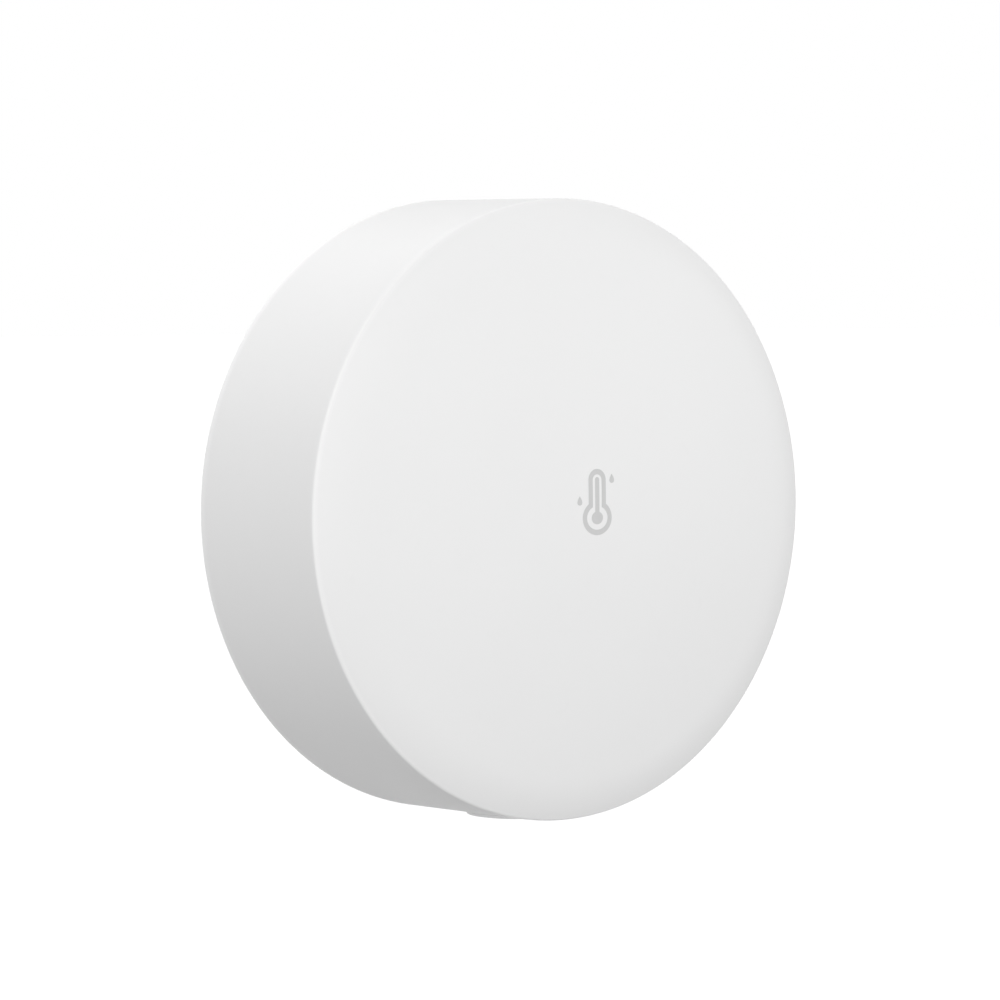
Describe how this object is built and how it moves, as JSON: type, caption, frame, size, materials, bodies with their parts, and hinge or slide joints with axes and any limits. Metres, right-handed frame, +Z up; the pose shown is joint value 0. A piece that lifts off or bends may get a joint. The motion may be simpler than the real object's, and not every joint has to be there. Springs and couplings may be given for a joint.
{
  "type": "temperature humidity sensor",
  "caption": "Round domed wall puck that senses room temperature and humidity, with a pairing button under its rim and a twist-on base held by a foam pad.",
  "frame": {"origin": "middle of the foam pad's rear face, on the wall", "axes": "+Y into the wall, -Y out of the domed front, +Z up, +X to the right seen from the front"},
  "size_m": [0.045, 0.0183, 0.0453],
  "materials": {
    "white_shell": "fine moulded satin",
    "white_button": "fine moulded satin",
    "white_base": "fine spark-eroded matt",
    "frame_plastic": "plain moulded",
    "foam_pad": "matt foam",
    "screw_steel": "zinc plated",
    "cell_steel": "nickel plated",
    "cell_seal": "moulded",
    "cell_pellet": "pressed powder",
    "gilt_spring": "gold flash",
    "board_green": "solder resist",
    "chip_black": "moulded epoxy",
    "shield_tin": "tin plated",
    "antenna_ceramic": "fired",
    "led_resin": "clear resin",
    "coil_ferrite": "fired ferrite",
    "capacitor_resin": "moulded resin",
    "capacitor_ceramic": "fired",
    "resistor_glaze": "glazed",
    "plunger_plastic": "plain moulded"
  },
  "bodies": {
    "wall_base": {"mounting_base": "white_base", "adhesive_pad": "foam_pad"},
    "pairing_button": {"button_cap": "white_button"},
    "switch_plunger": {"switch_plunger": "plunger_plastic"},
    "puck": {"front_shell": "white_shell", "inner_frame": "frame_plastic", "frame_screws": "screw_steel", "cell_can": "cell_steel", "cell_cap": "cell_steel", "cell_gasket": "cell_seal", "cell_electrodes": "cell_pellet", "positive_contact": "gilt_spring", "negative_contact": "gilt_spring", "main_board": "board_green", "radio_chip": "chip_black", "memory_chip": "chip_black", "sensor_chip": "chip_black", "radio_shield": "shield_tin", "radio_crystal": "shield_tin", "chip_antenna": "antenna_ceramic", "status_led": "led_resin", "power_inductor": "coil_ferrite", "tank_capacitor": "capacitor_resin", "ceramic_capacitors": "capacitor_ceramic", "chip_resistors": "resistor_glaze", "switch_body": "chip_black", "switch_cover": "shield_tin"}
  },
  "joints": [
    {"name": "base_twist", "type": "hinge", "parent": "wall_base", "child": "puck", "pos_m": [0, 0, 0], "axis": [0, -1, 0], "range_deg": [0, 20]},
    {"name": "button_press", "type": "slide", "parent": "puck", "child": "pairing_button", "axis": [0, 0, 1], "range_m": [0, 0.00025], "stiffness_N_per_m": 40},
    {"name": "plunger_press", "type": "slide", "parent": "puck", "child": "switch_plunger", "axis": [0, 0, 1], "range_m": [0, 0.00025]}
  ],
  "couplings": [
    {"joint": "plunger_press", "follows": "button_press", "ratio": 1}
  ]
}
